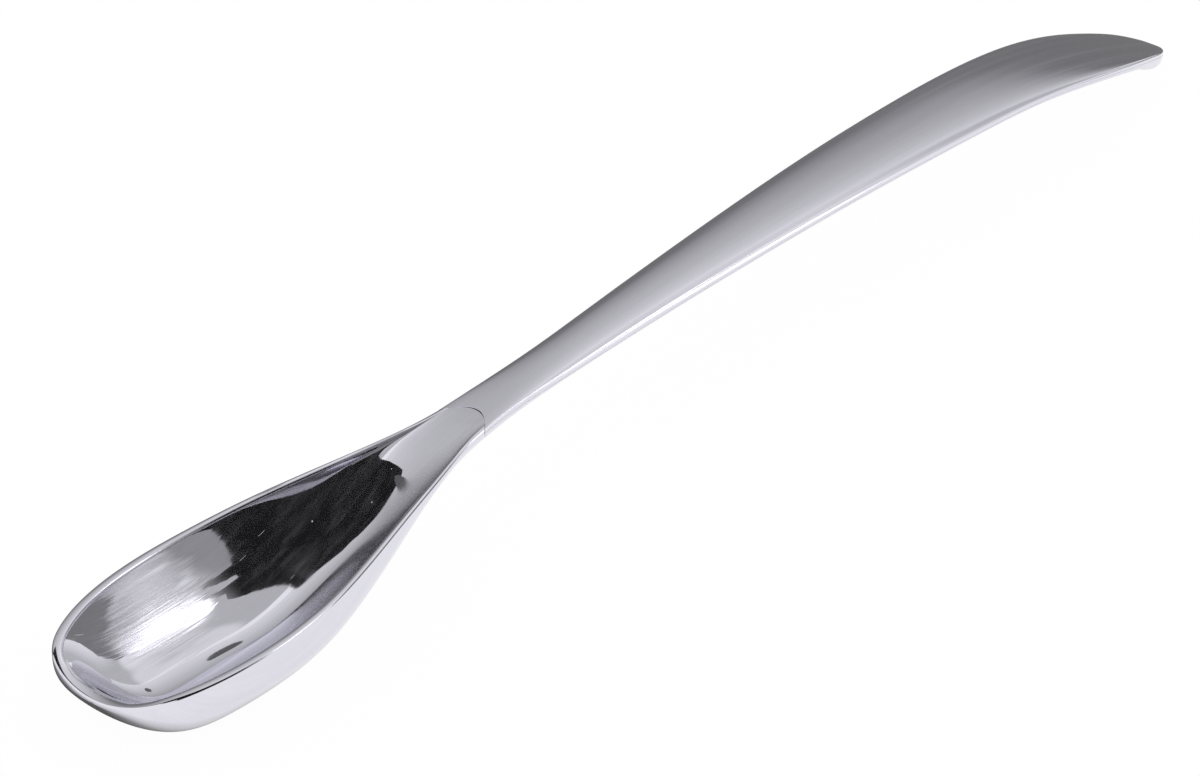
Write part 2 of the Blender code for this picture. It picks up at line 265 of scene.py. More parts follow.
def along_at(travel):
    """Distance from the bowl's front at a distance travelled along the rail."""
    return float(np.interp(travel, TRAVEL, TABLE[:, ALONG]))


def half_at(travel):
    """Half width at a distance travelled along the rail."""
    return float(np.interp(travel, TRAVEL, TABLE[:, HALF_WIDTH]))


def ease(value):
    """Smooth step from 0 to 1."""
    value = np.clip(value, 0.0, 1.0)
    return value * value * (3 - 2 * value)


ANGLES = np.linspace(-math.pi / 2, math.pi / 2, HALF_RING_STEPS + 1)
# Share of the half width, and how far a point has come from the side edge towards the middle line
SIDE = np.sin(ANGLES)
LIFT = np.cos(ANGLES) ** 2


def parting(along):
    """Height of the line where the two shells meet, one edge band below the upper edge."""
    return at_along(along, EDGE_HEIGHT) - EDGE_BAND


def under_depth(along):
    """Depth of the underside's middle below the parting line."""
    return np.maximum(parting(along) - at_along(along, UNDER_HEIGHT), 0.0)


def under_power(along):
    """How square the underside is."""
    return curve_through(UNDER_POWER, along)


def trough_power(along):
    """How square the bowl's inside is."""
    return curve_through(TROUGH_SQUARE, along)


def top_rise(along):
    """Height of the handle's top above the parting line, rounded off over the end of the tip."""
    fade = np.clip((LENGTH - along) / TIP_ROUND, 0.0, 1.0) ** TIP_ROUND_POWER
    return (EDGE_BAND + curve_through(CROWN_RISE, along)) * fade


def top_power(along):
    """How square the handle's top is: sharp edged at the joint and the tip, round shouldered between them."""
    shoulder = ease((along - JOINT_ALONG) / SHOULDER_RUN)
    flat = ease((along - TIP_FLAT_START) / TIP_FLAT_RUN)
    return SHARP_POWER + ROUND_POWER * shoulder * (1.0 - flat)


def bent_along(along, across):
    """Bends a straight ring so that rings near the neck joint follow its rounded line."""
    before = ease((along - BEND_START) / BEND_RUN)
    after = 1.0 - ease((along - JOINT_ALONG) / UNBEND_RUN)
    return along + JOINT_BULGE * before * after * (1.0 - across ** 2)


def points(along, across, height):
    """Rows of x, y, z from matching lists."""
    return np.stack(np.broadcast_arrays(along, across, height), axis=1)


def space_in_shells(along):
    """Half width of the space in the shells, its height above the parting line and its depth below it."""
    half = np.maximum(at_along(along, HALF_WIDTH) - SHELL_WALL, 0.0)
    shut = 1.0 - ease((along - SHUT_START) / SHUT_RUN)
    above = np.maximum(top_rise(along) - SHELL_WALL - GAP / 2, 0.0) * shut
    below = np.maximum(under_depth(along) - SHELL_WALL - GAP / 2, 0.0) * shut
    return half, above, below


def rim_profile(land, lip):
    """Steps from the rim's outer wall over its rounded edges: distance inwards and height, from the edge."""
    turn = np.linspace(0.0, math.pi / 2, ROUND_STEPS + 1)
    flat = np.linspace(0.0, 1.0, LAND_STEPS + 1)[1:-1]
    flat_start = RIM_ROUND
    flat_end = land - lip
    inwards = np.concatenate([
        RIM_ROUND * (1.0 - np.cos(turn)),
        flat_start + (flat_end - flat_start) * flat,
        flat_end + lip * np.sin(turn[:-1]),
    ])
    height = np.concatenate([
        RIM_ROUND * (np.sin(turn) - 1.0),
        4 * LAND_CROWN * flat * (1.0 - flat),
        lip * (np.cos(turn[:-1]) - 1.0),
    ])
    return inwards, height


def bowl_ring(travel, last):
    """One closed ring of the bowl: underside from left to right, right rim, trough, left rim."""
    along = along_at(travel)
    half = half_at(travel)
    place = bent_along(along, SIDE)
    under = parting(place) - under_depth(place) * LIFT ** under_power(place)
    outer = points(place, at_along(place, HALF_WIDTH) * SIDE, np.maximum(under, 0.0))

    # The inner edge of the rim lies square to the rail, one land further in
    lean = np.array([along_at(travel + RAIL_NUDGE) - along, half_at(travel + RAIL_NUDGE) - half])
    lean = lean / np.linalg.norm(lean)
    land = RIM_LAND * (1.0 - LAND_NARROWING * ease(along / JOINT_ALONG))
    inner_along = along if last else along + land * lean[1]
    inner_half = max(half - land * lean[0], 0.0)
    across = inner_half * SIDE
    place = bent_along(inner_along, across / max(half, RIM_LAND))
    matched = place - (inner_along - along)
    edge = at_along(matched, EDGE_HEIGHT)

    # The trough is as deep as the wall allows, softer at the front, and runs out towards the neck
    run_out = np.clip((matched - TROUGH_FADE) / (JOINT_ALONG + JOINT_BULGE - TROUGH_FADE), 0.0, 1.0)
    thick = EDGE_BAND + (BOWL_WALL - EDGE_BAND) * ease(matched / RIM_LAND)
    room = np.maximum(edge - at_along(matched, UNDER_HEIGHT) - thick, 0.0)
    depth = room * (1.0 - run_out ** 2) ** TROUGH_FADE_POWER
    depth = depth * (1.0 - FRONT_SOFT * np.exp(-matched / FRONT_SOFT_RUN))
    lip = min(LIP_ROUND, LIP_SHARE * float(depth.max()))
    floor = edge - lip - np.maximum(depth - lip, 0.0) * LIFT ** trough_power(matched)
    trough = points(place, across, floor)

    inwards, height = rim_profile(land, lip)
    share = inwards / land
    rims = []
    for end in (-1, 0):
        top = outer[end] + np.array([0.0, 0.0, EDGE_BAND])
        inner = np.array([trough[end][0], trough[end][1], edge[end]])
        line = top + (inner - top) * share[:, None]
        line[:, 2] += height
        rims.append(line)
    return np.vstack([outer, rims[0], trough[::-1], rims[1][::-1]])


def tang_ring(along, bent):
    """One closed ring of the tang inside the handle, with as many points as a ring of the bowl."""
    half, above, below = space_in_shells(along)
    across = (half - GAP) * SIDE
    place = bent_along(along, across / at_along(along, HALF_WIDTH)) if bent else np.full_like(SIDE, along)
    middle = parting(place)
    edge = middle + np.minimum(above, GAP) / 2 - GAP / 2
    roof = middle + above - GAP / 2
    base = middle - below + GAP / 2
    lower = points(place, across, edge - (edge - base) * LIFT ** under_power(place))
    upper = points(place, across, edge + (roof - edge) * LIFT ** top_power(place))
    rim_count = len(rim_profile(RIM_LAND, LIP_ROUND)[0])
    right = np.repeat(lower[-1:], rim_count, axis=0)
    left = np.repeat(lower[:1], rim_count, axis=0)
    return np.vstack([lower, right, upper[::-1], left])


def bowl_rings():
    """Rings of the bowl from its front to the joint, then of the tang that enters the handle."""
    finish = travel_at(JOINT_ALONG)
    rings = [bowl_ring(finish * step / BOWL_STEPS, step == BOWL_STEPS) for step in range(BOWL_STEPS + 1)]
    rings.append(tang_ring(JOINT_ALONG, True))
    first = JOINT_ALONG + JOINT_BULGE + RIM_LAND
    for step in range(TANG_STEPS + 1):
        rings.append(tang_ring(first + (TANG_END - first) * step / TANG_STEPS, False))
    return rings


def shell_rings(upper_shell):
    """Closed rings of one handle half shell from the joint to the tip: outside, then inside.

    The rings stand closer together towards the tip.
    """
    start = travel_at(JOINT_ALONG + NECK_SEAM)
    finish = TRAVEL[-1]
    rings = []
    for step in range(HANDLE_STEPS + 1):
        share = 1.0 - (1.0 - step / HANDLE_STEPS) ** HANDLE_CROWDING
        along = along_at(start + (finish - start) * share)
        place = bent_along(along, SIDE)
        across = at_along(place, HALF_WIDTH) * SIDE
        half = space_in_shells(along)[0]
        inner = bent_along(along, SIDE * half / max(at_along(along, HALF_WIDTH), GAP))
        inner_half, above, below = space_in_shells(inner)
        if upper_shell:
            rise = np.maximum(top_rise(place) - SHELL_SEAM / 2, 0.0) * LIFT ** top_power(place)
            outside = parting(place) + SHELL_SEAM / 2 + rise
            inside = parting(inner) + SHELL_SEAM / 2 + above * LIFT ** top_power(inner)
        else:
            drop = np.maximum(under_depth(place) - SHELL_SEAM / 2, 0.0) * LIFT ** under_power(place)
            outside = np.maximum(parting(place) - SHELL_SEAM / 2 - drop, 0.0)
            inside = parting(inner) - SHELL_SEAM / 2 - below * LIFT ** under_power(inner)
        outer_line = points(place, across, outside)
        inner_line = points(inner, inner_half * SIDE, inside)
        rings.append(np.vstack([outer_line, inner_line[::-1]]))
    return rings


def arc_places(line):
    """Signed distance along a line of points, measured from its middle."""
    run = np.concatenate([[0.0], np.cumsum(np.linalg.norm(np.diff(line, axis=0), axis=1))])
    return run - run[-1] / 2


def mesh_from(name, form):
    """A mesh from a finished form, which is then freed."""
    mesh = bpy.data.meshes.new(name)
    form.to_mesh(mesh)
    form.free()
    return mesh


def new_object(name, data):
    """An object in the scene's own collection."""
    thing = bpy.data.objects.new(name, data)
    bpy.context.scene.collection.objects.link(thing)
    return thing


def make_piece(name, rings, spans, marks, closed_start, closed_end):
    """Skins closed rings into one solid with smooth shading.

    Each point carries "grain", its distance along the spoon and around its span of the ring, and the marks.
    """
    solid = bmesh.new()
    grain = solid.verts.layers.float_vector.new("grain")
    layers = {mark: solid.verts.layers.float.new(mark) for mark in marks}
    grid = []
    for i, ring in enumerate(rings):
        around = np.concatenate([arc_places(ring[start:end]) for start, end in spans])
        row = []
        for k, place in enumerate(ring):
            vert = solid.verts.new((place[0] - LENGTH / 2, place[1], place[2]))
            vert[grain] = (place[0], around[k], 0.0)
            for mark, layer in layers.items():
                vert[layer] = marks[mark][i][k]
            row.append(vert)
        grid.append(row)
    count = len(grid[0])
    for near, far in zip(grid[:-1], grid[1:]):
        for k in range(count):
            solid.faces.new((near[k], near[k - 1], far[k - 1], far[k]))
    ends = []
    if closed_start:
        ends.append(grid[0])
    if closed_end:
        ends.append(grid[-1])
    for ring in ends:
        for k in range(count // 2 - 1):
            solid.faces.new((ring[k], ring[k + 1], ring[count - 2 - k], ring[count - 1 - k]))
    bmesh.ops.remove_doubles(solid, verts=solid.verts, dist=WELD)
    bmesh.ops.dissolve_degenerate(solid, edges=solid.edges, dist=WELD)
    bmesh.ops.recalc_face_normals(solid, faces=solid.faces)
    if solid.calc_volume(signed=True) < 0.0:
        bmesh.ops.reverse_faces(solid, faces=solid.faces)
    mesh = mesh_from(name, solid)
    mesh.shade_smooth()
    mesh.set_sharp_from_angle(angle=SHARP_ANGLE)
    return new_object(name, mesh)


def make_bowl():
    """The bowl with its tang; marks tell the inside, the rim and the tang apart."""
    rings = bowl_rings()
    half = HALF_RING_STEPS + 1
    rim = len(rim_profile(RIM_LAND, LIP_ROUND)[0])
    # Underside, right rim, trough and left rim
    sizes = [half, rim, half, rim]
    ends = np.cumsum(sizes)
    spans = list(zip(ends - sizes, ends))
    marks = {mark: np.zeros((len(rings), len(rings[0]))) for mark in ("inside", "rim", "tang")}
    for mark, (start, end) in zip(("rim", "inside", "rim"), spans[1:]):
        marks[mark][:, start:end] = 1.0
    marks["tang"][BOWL_STEPS + 1:] = 1.0
    return make_piece("spoon_bowl", rings, spans, marks, False, True)


def make_shell(name, upper_shell):
    """One handle half shell; the mark "edge" grows towards its long edges."""
    rings = shell_rings(upper_shell)
    half = HALF_RING_STEPS + 1
    spans = [(0, half), (half, 2 * half)]
    edge = np.concatenate([np.abs(SIDE), np.zeros(half)])
    marks = {"edge": np.tile(edge, (len(rings), 1))}
    return make_piece(name, rings, spans, marks, True, False)


# Colours of the steel: polished, its darker streaks, the buffed lines, and painted shade on the tang hidden
# inside the handle
STEEL = (0.77, 0.762, 0.832, 1.0)
STEEL_SHADE = (0.735, 0.727, 0.80, 1.0)
BRUSHED_SHADE = (0.60, 0.59, 0.65, 1.0)
TANG_PAINTED_SHADE = (0.10, 0.10, 0.11, 1.0)

# Roughness of the bowl's polish, and what haze, buffed lines, the rim and small marks add to it
POLISHED = 0.024
HAZE = 0.035
BRUSHED = 0.25
BRUSHED_LEAST = 0.55 * BRUSHED
RIM_ROUGH = 0.07
SPECK_ROUGH = 0.55

# Roughness of the handle's satin, what its streaks and lines add or take, what worn edges take,
# and the shares of the half width between which an edge is worn
SATIN = 0.19
SATIN_STREAK_ROUGH = 0.04
SATIN_LINE_ROUGH = 0.02
EDGE_POLISH = 0.07
EDGE_RANGE = (0.88, 1.0)

# Patch inside the bowl where a buffing wheel left fine lines: its middle and half sizes,
# how ragged its edge is, and the shares of its reach between which it fades in
BRUSHED_MIDDLE = (-82.2 * MM, 7.6 * MM, 5.8 * MM)
BRUSHED_REACH = (8.6 * MM, 6.0 * MM, 7.0 * MM)
BRUSHED_RAGGED = 0.25
BRUSHED_FADE = (1.05, 0.55)

# Softer polish on the near wall of the bowl: from where it starts to where it is full, across the spoon
SOFT_RANGE = (0.2 * MM, -2.4 * MM)
SOFT_ROUGH = 0.24

# Noise in the metal, drawn out along the piece; the satin's seeds are added to each shell's own seed
Grain = namedtuple("Grain", "length width seed detail bend")
HAIRLINE = Grain(length=9.0 * MM, width=0.24 * MM, seed=3.0, detail=3.0, bend=0.15)
WAVE = Grain(length=14.0 * MM, width=1.6 * MM, seed=11.0, detail=2.0, bend=0.4)
STREAK = Grain(length=30.0 * MM, width=2.4 * MM, seed=23.0, detail=3.0, bend=0.3)
MOTTLE = Grain(length=6.0 * MM, width=3.0 * MM, seed=37.0, detail=3.0, bend=0.8)
HAZE_STREAK = Grain(length=9.0 * MM, width=0.9 * MM, seed=53.0, detail=4.0, bend=0.5)
SATIN_HAIRLINE = Grain(length=40.0 * MM, width=0.22 * MM, seed=0.0, detail=3.0, bend=0.05)
SATIN_STREAK = Grain(length=60.0 * MM, width=1.5 * MM, seed=7.0, detail=3.0, bend=0.1)
SATIN_MOTTLE = Grain(length=18.0 * MM, width=9.0 * MM, seed=19.0, detail=2.0, bend=0.5)
TOP_SEED = 41.0
UNDER_SEED = 67.0
NOISE_ROUGHNESS = 0.6

# Noise values between which an effect comes in
NOISE_RANGE = (0.3, 0.7)
POLISH_RANGE = (0.35, 0.75)
HAZE_RANGE = (0.35, 0.7)
TONE_RANGE = (0.12, 0.4)
DARK_LINE_RANGE = (0.38, 0.58)

# How deep the relief is, and the share of the bowl's lines that is left outside the buffed patch
WAVE_DEPTH = 0.006 * MM
HAIRLINE_DEPTH = 0.022 * MM
SATIN_LINE_DEPTH = 0.06 * HAIRLINE_DEPTH
LINES_OUTSIDE = 0.03

# Haze that dulls the polish: its largest share, and the least of it that its streaks and its mottle leave
HAZE_SHARE = 0.05
HAZE_STREAK_LEAST = 0.2
HAZE_MOTTLE_LEAST = 0.1

# Small marks: length and width of the cell that each lies in, its largest share of the cell, and how many
# cells stay empty; then how dull a mark is, and the share of it that is full
SPECK_CELL = (5.2 * MM, 5.2 * MM)
SPECK_SIZE = 0.022
SPECK_RARE = 0.5
SCRATCH_CELL = (3.4 * MM, 0.13 * MM)
SCRATCH_SIZE = 0.3
SCRATCH_RARE = 0.992
MARK_SHARE = 0.5
MARK_CORE = 0.5

# Cast filler in the handle: colours, roughness, and size, detail and depth of its sand and clouds
FILLER_DARK = (0.30, 0.26, 0.21, 1.0)
FILLER_PALE = (0.52, 0.47, 0.40, 1.0)
FILLER_TONE_RANGE = (0.15, 0.4)
FILLER_ROUGH = (0.6, 0.85)
SAND_SIZE = 0.5 * MM
SAND_DETAIL = 4.0
SAND_DEPTH = 0.03 * MM
CLOUD_SIZE = 12.0 * MM
CLOUD_DETAIL = 2.0


def new_material(name):
    """A material with nodes; returns it and its node tree."""
    material = bpy.data.materials.new(name)
    material.use_nodes = True
    return material, material.node_tree


def new_steel(name):
    """Metal with a Principled shader; returns the material, its node tree and the shader."""
    material, tree = new_material(name)
    shader = tree.nodes["Principled BSDF"]
    shader.inputs["Metallic"].default_value = 1.0
    return material, tree, shader


def add_node(tree, kind, inputs, **options):
    """Adds a node with its options; each input gets a plain value or a link from another node's socket."""
    node = tree.nodes.new(kind)
    for option, value in options.items():
        setattr(node, option, value)
    for key, value in inputs.items():
        if isinstance(value, bpy.types.NodeSocket):
            tree.links.new(value, node.inputs[key])
        else:
            node.inputs[key].default_value = value
    return node


def mark_of(tree, mark):
    """Value of a mark that the points carry."""
    return add_node(tree, "ShaderNodeAttribute", {}, attribute_name=mark).outputs["Fac"]


def grain_of(tree):
    """Place along and around the piece, in metres."""
    return add_node(tree, "ShaderNodeAttribute", {}, attribute_name="grain").outputs["Vector"]


def place_of(tree):
    """Place in the piece's own space, in metres."""
    return add_node(tree, "ShaderNodeTexCoord", {}).outputs["Object"]


def combine(tree, operation, first, second):
    """One sum, product or other step on two values."""
    return add_node(tree, "ShaderNodeMath", {0: first, 1: second}, operation=operation).outputs[0]


def combine_vectors(tree, operation, first, second):
    """One sum, product or other step on two vectors."""
    return add_node(tree, "ShaderNodeVectorMath", {0: first, 1: second}, operation=operation).outputs[0]


def remap(tree, value, source, target):
    """Smooth step of a value from one range to another."""
    inputs = {
        "Value": value,
        "From Min": source[0],
        "From Max": source[1],
        "To Min": target[0],
        "To Max": target[1],
    }
    return add_node(tree, "ShaderNodeMapRange", inputs, interpolation_type="SMOOTHSTEP").outputs["Result"]


def grain_noise(tree, grain, kind, seed=0.0):
    """Noise drawn out to a length along the piece and a width around it."""
    shift = kind.seed + seed
    place = combine_vectors(tree, "MULTIPLY", grain, (1.0 / kind.length, 1.0 / kind.width, 1.0))
    inputs = {
        "Vector": combine_vectors(tree, "ADD", place, (shift, shift, shift)),
        "Scale": 1.0,
        "Detail": kind.detail,
        "Roughness": NOISE_ROUGHNESS,
        "Distortion": kind.bend,
    }
    return add_node(tree, "ShaderNodeTexNoise", inputs, noise_dimensions="3D").outputs["Fac"]


def mixed_color(tree, share, first, second):
    """Blend of two colours, each a plain value or a link."""
    inputs = {"Factor": share, "A": first, "B": second}
    return add_node(tree, "ShaderNodeMix", inputs, data_type="RGBA").outputs["Result"]


def add_relief(tree, shader, layers):
    """Stacks bumps on the shader's normal; each layer is a height between 0 and 1 and its depth in metres."""
    normal = None
    for height, depth in layers:
        inputs = {"Height": height, "Distance": depth, "Strength": 1.0}
        if normal is not None:
            inputs["Normal"] = normal
        normal = add_node(tree, "ShaderNodeBump", inputs).outputs["Normal"]
    tree.links.new(normal, shader.inputs["Normal"])


def scattered_marks(tree, grain, cell, size, rare):
    """Small marks, each in a cell of its own.

    The size is a share of the cell, and cells whose random value is below rare stay empty.
    """
    place = combine_vectors(tree, "MULTIPLY", grain, (1.0 / cell[0], 1.0 / cell[1], 0.0))
    cells = add_node(tree, "ShaderNodeTexVoronoi", {"Vector": place, "Scale": 1.0}, voronoi_dimensions="2D")
    chosen = add_node(tree, "ShaderNodeSeparateColor", {"Color": cells.outputs["Color"]})
    reach = combine(tree, "MULTIPLY", chosen.outputs[1], size)
    core = combine(tree, "MULTIPLY", reach, MARK_CORE)
    dot = remap(tree, cells.outputs["Distance"], (reach, core), (0.0, 1.0))
    return combine(tree, "MULTIPLY", dot, combine(tree, "GREATER_THAN", chosen.outputs[0], rare))


def brushed_patch(tree, place, streak):
    """Strength of the buffed lines at a place: 1 in the patch's middle, 0 past its ragged edge."""
    offset = combine_vectors(tree, "SUBTRACT", place, BRUSHED_MIDDLE)
    share = combine_vectors(tree, "DIVIDE", offset, BRUSHED_REACH)
    reach = add_node(tree, "ShaderNodeVectorMath", {0: share}, operation="LENGTH").outputs["Value"]
    ragged = remap(tree, streak, NOISE_RANGE, (-BRUSHED_RAGGED, BRUSHED_RAGGED))
    return remap(tree, combine(tree, "ADD", reach, ragged), BRUSHED_FADE, (0.0, 1.0))


def bowl_steel():
    """Mirror polish with haze, soft waves and small marks, a buffed patch inside and a duller near wall."""
    material, tree, shader = new_steel("bowl_mirror_steel")
    grain = grain_of(tree)
    place = place_of(tree)
    inside = mark_of(tree, "inside")
    hairline = grain_noise(tree, grain, HAIRLINE)
    wave = grain_noise(tree, grain, WAVE)
    streak = grain_noise(tree, grain, STREAK)
    mottle = grain_noise(tree, grain, MOTTLE)
    haze = grain_noise(tree, grain, HAZE_STREAK)
    brushed = combine(tree, "MULTIPLY", inside, brushed_patch(tree, place, streak))
    specks = scattered_marks(tree, grain, SPECK_CELL, SPECK_SIZE, SPECK_RARE)
    scratches = scattered_marks(tree, grain, SCRATCH_CELL, SCRATCH_SIZE, SCRATCH_RARE)
    spots = combine(tree, "MULTIPLY", inside, combine(tree, "MAXIMUM", specks, scratches))

    # Roughness: the polish with its haze, then what lines, rim, near wall and marks add
    across = add_node(tree, "ShaderNodeSeparateXYZ", {"Vector": place}).outputs["Y"]
    rough = remap(tree, mottle, POLISH_RANGE, (POLISHED, POLISHED + HAZE))
    for where, amount in (
        (brushed, remap(tree, hairline, NOISE_RANGE, (BRUSHED_LEAST, BRUSHED))),
        (mark_of(tree, "rim"), RIM_ROUGH),
        (inside, remap(tree, across, SOFT_RANGE, (0.0, SOFT_ROUGH))),
        (spots, SPECK_ROUGH),
    ):
        rough = combine(tree, "ADD", rough, combine(tree, "MULTIPLY", where, amount))
    tree.links.new(rough, shader.inputs["Roughness"])

    # Haze and marks take a little of the metal's mirror away
    haze = combine(
        tree,
        "MULTIPLY",
        remap(tree, haze, HAZE_RANGE, (HAZE_STREAK_LEAST, 1.0)),
        remap(tree, mottle, NOISE_RANGE, (HAZE_MOTTLE_LEAST, 1.0)),
    )
    hazed = combine(tree, "MULTIPLY", haze, HAZE_SHARE)
    marked = combine(tree, "MULTIPLY", spots, MARK_SHARE)
    dull = combine(tree, "ADD", hazed, marked)
    tree.links.new(combine(tree, "SUBTRACT", 1.0, dull), shader.inputs["Metallic"])

    # Colour: faint streaks, darker lines in the buffed patch, and painted shade on the tang inside the handle
    tone = remap(tree, combine(tree, "MULTIPLY", streak, hairline), TONE_RANGE, (1.0, 0.0))
    color = mixed_color(tree, tone, STEEL, STEEL_SHADE)
    dark_lines = combine(tree, "MULTIPLY", brushed, remap(tree, hairline, DARK_LINE_RANGE, (1.0, 0.0)))
    color = mixed_color(tree, dark_lines, color, BRUSHED_SHADE)
    color = mixed_color(tree, mark_of(tree, "tang"), color, TANG_PAINTED_SHADE)
    tree.links.new(color, shader.inputs["Base Color"])

    # Relief: soft waves all over, and lines that are deep only in the buffed patch
    line_share = combine(tree, "ADD", combine(tree, "MULTIPLY", brushed, 1.0 - LINES_OUTSIDE), LINES_OUTSIDE)
    lines = combine(tree, "MULTIPLY", hairline, line_share)
    add_relief(tree, shader, [(wave, WAVE_DEPTH), (lines, HAIRLINE_DEPTH)])
    return material


def handle_steel(name, seed):
    """Satin metal with fine lines along the handle, soft streaks and edges polished by use."""
    material, tree, shader = new_steel(name)
    grain = grain_of(tree)
    hairline = grain_noise(tree, grain, SATIN_HAIRLINE, seed)
    streak = grain_noise(tree, grain, SATIN_STREAK, seed)
    mottle = grain_noise(tree, grain, SATIN_MOTTLE, seed)
    rough = remap(tree, streak, NOISE_RANGE, (SATIN - SATIN_STREAK_ROUGH, SATIN + SATIN_STREAK_ROUGH))
    lines = remap(tree, hairline, NOISE_RANGE, (-SATIN_LINE_ROUGH, SATIN_LINE_ROUGH))
    rough = combine(tree, "ADD", rough, lines)
    worn = remap(tree, mark_of(tree, "edge"), EDGE_RANGE, (0.0, EDGE_POLISH))
    worn = combine(tree, "MULTIPLY", worn, mottle)
    tree.links.new(combine(tree, "SUBTRACT", rough, worn), shader.inputs["Roughness"])
    tone = remap(tree, combine(tree, "MULTIPLY", streak, hairline), TONE_RANGE, (1.0, 0.0))
    tree.links.new(mixed_color(tree, tone, STEEL, STEEL_SHADE), shader.inputs["Base Color"])
    add_relief(tree, shader, [(mottle, WAVE_DEPTH), (hairline, SATIN_LINE_DEPTH)])
    return material


def filler_resin():
    """Cast filler: warm grey-brown with sandy grains, dull all over."""
    material, tree = new_material("filler_resin")
    shader = tree.nodes["Principled BSDF"]
    place = place_of(tree)
    sand_inputs = {"Vector": place, "Scale": 1.0 / SAND_SIZE, "Detail": SAND_DETAIL}
    sand = add_node(tree, "ShaderNodeTexNoise", sand_inputs).outputs["Fac"]
    cloud_inputs = {"Vector": place, "Scale": 1.0 / CLOUD_SIZE, "Detail": CLOUD_DETAIL}
    clouds = add_node(tree, "ShaderNodeTexNoise", cloud_inputs).outputs["Fac"]
    tone = remap(tree, combine(tree, "MULTIPLY", sand, clouds), FILLER_TONE_RANGE, (0.0, 1.0))
    tree.links.new(mixed_color(tree, tone, FILLER_DARK, FILLER_PALE), shader.inputs["Base Color"])
    tree.links.new(remap(tree, sand, NOISE_RANGE, FILLER_ROUGH), shader.inputs["Roughness"])
    add_relief(tree, shader, [(sand, SAND_DEPTH)])
    return material


bowl = make_bowl()
handle_top = make_shell("spoon_handle_top", True)
handle_under = make_shell("spoon_handle_under", False)
for piece, node, slot, material in (
    (bowl, "bowl", "bowl_steel", bowl_steel()),
    (handle_top, "handle_upper_shell", "handle_top_steel", handle_steel("handle_top_satin", TOP_SEED)),
    (
        handle_under,
        "handle_lower_shell",
        "handle_under_steel",
        handle_steel("handle_under_satin", UNDER_SEED),
    ),
):
    piece.data.materials.append(material)
    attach(piece, "root")
    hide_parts(node)
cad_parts["handle_core"].material_slots[0].material = filler_resin()

# Directions below are in degrees: azimuth 0 points along -Y and 90 along +X, elevation 90 points up.

# Camera, fitted to the photo's outline: the point it looks at, and where it stands from there
VIEW_TARGET = Vector((-14.93 * MM, 0.0, 4.46 * MM))
VIEW_DISTANCE = 600.0 * MM
VIEW_AZIMUTH = -50.82
VIEW_ELEVATION = 32.0
VIEW_LENS = 155.6
VIEW_SENSOR = 36.0
VIEW_NEAREST = 0.01
VIEW_FARTHEST = 50.0

# Studio: a white floor, a graded sweep behind, a grey wall, a dark arch over the bowl, a low flag, a small
# card and two soft lamps. The cards are seen only as reflections in the metal.
BOWL_MIDDLE = Vector((-71.25 * MM, 0.0, 8.0 * MM))
WORLD_WHITE = (1.0, 1.0, 1.0, 1.0)
# How far above the table the arch, the wall and the tip card stay
CARD_LIFT = 0.5 * MM

# Floor: size, how far it lies below the spoon, colour, and how white it shows to the camera and in the metal
FLOOR_SIZE = 6.0
FLOOR_DROP = 0.1 * MM
FLOOR_COLOR = (0.97, 0.97, 0.97, 1.0)
FLOOR_TO_CAMERA = 0.97
FLOOR_TO_METAL = 0.7

# Sweep behind the spoon: its curve, its ends along the spoon, and its greys from the floor to the top
SWEEP_RADIUS = 350.0 * MM
SWEEP_START = 35.0 * MM
SWEEP_RISE = 1.0 * MM
SWEEP_ENDS = (-160.0 * MM, 1100.0 * MM)
SWEEP_TOP = math.radians(80.0)
SWEEP_STEPS = 25
SWEEP_GREYS = [(0.0, 0.19), (0.32, 0.19), (0.46, 0.38), (0.65, 0.57), (1.0, 0.85)]

# Card on the floor past the tip, in the sweep's first grey: its ends along the spoon and its sides
TIP_CARD_ENDS = (103.0 * MM, 600.0 * MM)
TIP_CARD_SIDES = (-40.0 * MM, 35.0 * MM)

# Dark arch over the bowl, part of a dome: the direction of its axis, the rolls about that axis that it
# spans, and its outer and inner edge as roll and angle from the axis
SCREEN_RADIUS = 300.0 * MM
SCREEN_AZIMUTH = -77.0
SCREEN_ELEVATION = 11.0
SCREEN_ROLLS = (-20.0, 200.0)
SCREEN_STEPS_AROUND = 441
SCREEN_STEPS_OUT = 48
SCREEN_OUTER = [
    (-20, 94), (8, 93.5), (12, 95.5), (16, 92), (30, 91), (35, 91), (36.2, 99.5), (39.2, 99.5),
    (40.2, 91), (43, 90.6), (44, 99), (46.2, 98.5), (47.5, 95.5), (52, 96.5), (54, 95), (57, 92.3),
    (61, 89.7), (66, 88.2), (73, 87.4), (80, 87.6), (88, 88.7), (95, 90.5), (103, 92.9), (112, 95),
    (117, 96), (121, 92), (126, 87), (131, 85), (150, 85), (165, 87), (200, 84),
]
SCREEN_INNER = [
    (100, 46), (106, 69), (112, 71), (120, 73.5), (130, 76.5), (140, 79), (160, 82), (200, 82),
]
# The arch's narrow fingers turn lighter: the rolls between which they lie, the angle where that starts,
# the angle it takes, and the greys of the arch and of the fingers' ends
FINGER_ROLLS = (34.5, 58.0)
FINGER_FADE_START = 91.0
FINGER_FADE_RUN = 8.5
SCREEN_GREYS = [(0.0, 0.012), (1.0, 0.32)]

# Grey wall, part of a large dome, with soft lighter and darker patches:
# azimuth, elevation, half width, half height and light of each
WALL_RADIUS = 1.2
WALL_AZIMUTHS = (12.0, 98.0)
WALL_ELEVATIONS = (-1.0, 88.0)
WALL_STEPS_ALONG = 44
WALL_STEPS_UP = 46
WALL_GREY = 0.55
WALL_PATCHES = [
    (52.0, 5.0, 30.0, 22.0, 0.90),
    (38.0, 16.0, 10.0, 20.0, 1.0),
    (58.0, 40.0, 17.0, 9.0, 0.90),
    (19.0, 14.0, 10.0, 26.0, 0.33),
    (88.0, 51.0, 20.0, 12.0, 0.82),
]
